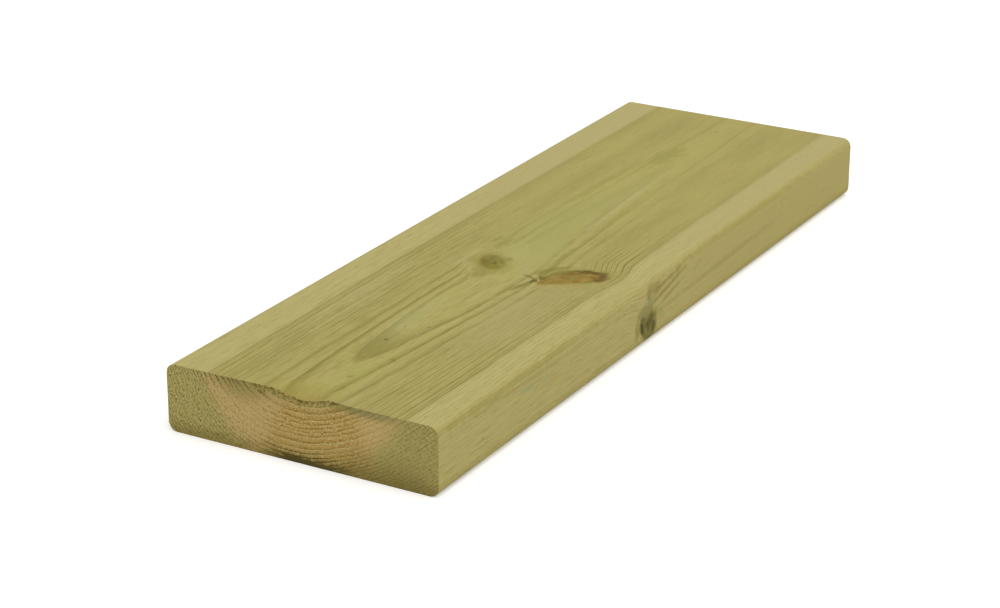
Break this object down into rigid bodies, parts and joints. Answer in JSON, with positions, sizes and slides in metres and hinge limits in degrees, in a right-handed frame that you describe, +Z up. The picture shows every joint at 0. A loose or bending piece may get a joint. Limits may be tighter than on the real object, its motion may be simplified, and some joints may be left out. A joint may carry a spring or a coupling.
{
  "type": "decking board",
  "caption": "Flat planed softwood board with four rounded long edges and square sawn ends, laid on joists as an outdoor walking surface.",
  "frame": {"origin": "centre of the board's underside, halfway along its length", "axes": "+X along the grain, +Y across the width, +Z up through the thickness"},
  "size_m": [0.38, 0.12, 0.028],
  "materials": {
    "treated_pine": "planed, green pressure-treated pine with knots and sawn ends"
  },
  "bodies": {
    "root": {"board": "treated_pine"}
  },
  "joints": []
}
